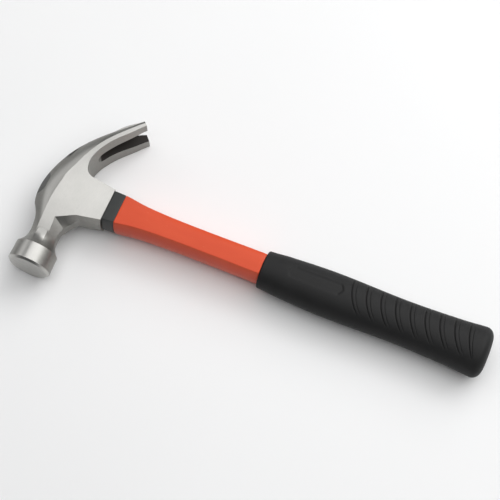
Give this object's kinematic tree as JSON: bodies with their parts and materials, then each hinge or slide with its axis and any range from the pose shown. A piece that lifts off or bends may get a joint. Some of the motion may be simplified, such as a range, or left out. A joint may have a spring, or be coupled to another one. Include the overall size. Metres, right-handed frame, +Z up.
{
  "type": "claw hammer",
  "caption": "Claw hammer lying on its side: forged steel head with a round bell and curved split claws, glass-fibre core handle in an orange jacket, black rubber grip.",
  "frame": {"origin": "middle of the hammer's box in X and Y, at the height of the bench it lies on", "axes": "+X down the handle from head to butt, +Y towards the claws, +Z up through the cheeks; the striking face looks along -Y"},
  "size_m": [0.33, 0.1276, 0.0314],
  "materials": {
    "ground_steel": "forged steel, ground and satin polished",
    "fibreglass": "pultruded glass fibre in resin",
    "epoxy": "black potting resin",
    "black_plastic": "moulded black plastic, satin",
    "orange_plastic": "moulded orange-red plastic, glossy",
    "black_rubber": "soft moulded rubber, matt"
  },
  "bodies": {
    "root": {"hammer_head": "ground_steel", "fibreglass_core": "fibreglass", "eye_epoxy": "epoxy", "eye_collar": "black_plastic", "handle_jacket": "orange_plastic", "rubber_grip": "black_rubber"}
  },
  "joints": []
}
